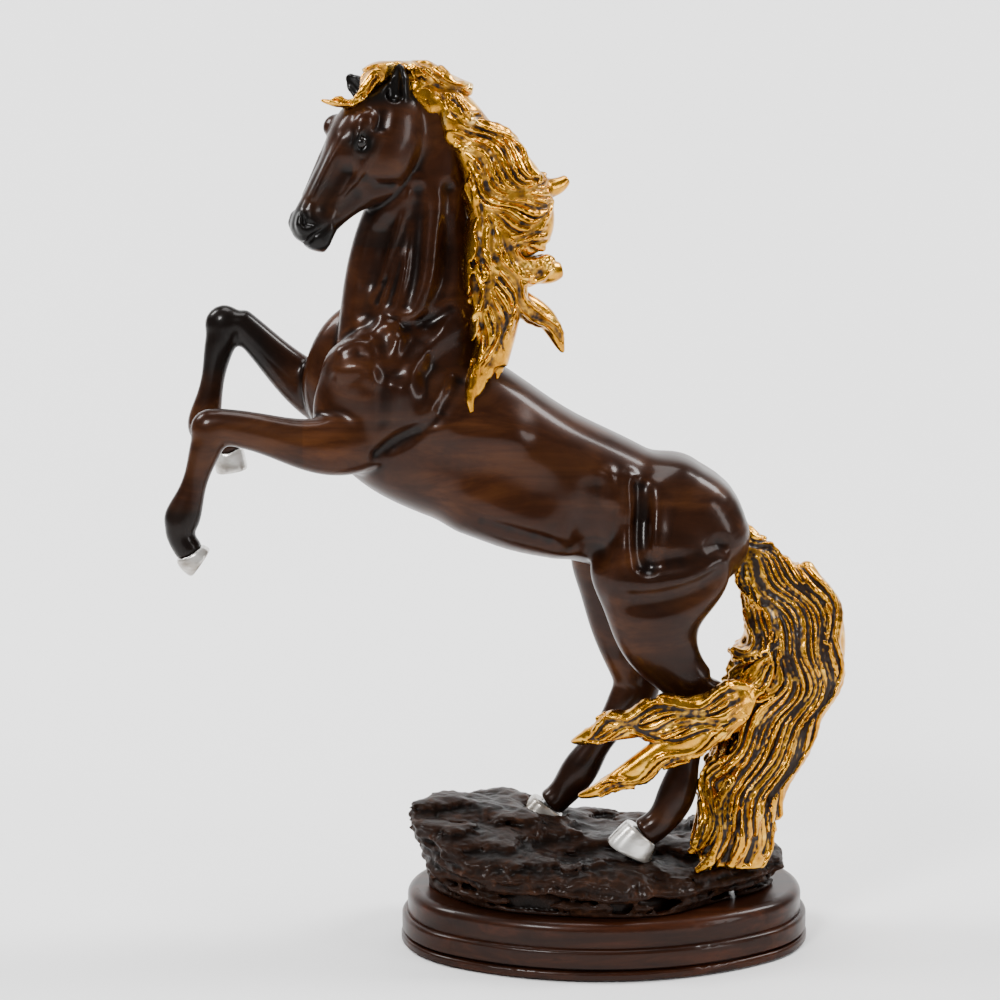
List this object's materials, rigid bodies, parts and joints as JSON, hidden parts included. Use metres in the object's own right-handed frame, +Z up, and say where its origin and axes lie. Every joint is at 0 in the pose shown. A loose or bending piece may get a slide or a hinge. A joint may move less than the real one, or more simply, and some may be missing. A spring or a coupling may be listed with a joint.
{
  "type": "rearing horse statue",
  "caption": "Patinated bronze statue of a rearing horse with a gilt mane and tail, standing on a cast rock and a stepped oval plinth.",
  "frame": {"origin": "centre of the flat underside of the felt pad, which is also the middle of the oval plinth, at z = 0", "axes": "+Z is up; the horse faces -X; its left side, which the plinth's front shows, is -Y"},
  "size_m": [0.3031, 0.124, 0.398],
  "materials": {
    "bronze_brown": "gloss",
    "gilt_hair": "satin",
    "silvered_hoof": "satin",
    "eye_black": "gloss",
    "rock_bronze": "gloss",
    "plinth_wood": "gloss",
    "felt_green": "matte",
    "zinc_steel": "satin"
  },
  "bodies": {
    "root": {"torso_shell": "bronze_brown", "neck_shell": "bronze_brown", "head": "bronze_brown", "left_ear": "bronze_brown", "right_ear": "bronze_brown", "left_eye": "eye_black", "right_eye": "eye_black", "left_foreleg": "bronze_brown", "right_foreleg": "bronze_brown", "left_hind_leg": "bronze_brown", "right_hind_leg": "bronze_brown", "left_fore_hoof": "silvered_hoof", "right_fore_hoof": "silvered_hoof", "left_hind_hoof": "silvered_hoof", "right_hind_hoof": "silvered_hoof", "forelock": "gilt_hair", "mane_crest": "gilt_hair", "mane_upper": "gilt_hair", "mane_middle": "gilt_hair", "mane_lower": "gilt_hair", "tail_fall": "gilt_hair", "tail_sweep": "gilt_hair", "rock_ground": "rock_bronze", "plinth_upper_tier": "plinth_wood", "plinth_lower_tier": "plinth_wood", "felt_pad": "felt_green", "hoof_studs": "zinc_steel", "tail_stud": "zinc_steel", "foreleg_dowels": "zinc_steel", "plinth_screws": "zinc_steel", "fixing_nuts": "zinc_steel", "fixing_washers": "zinc_steel"}
  },
  "joints": []
}
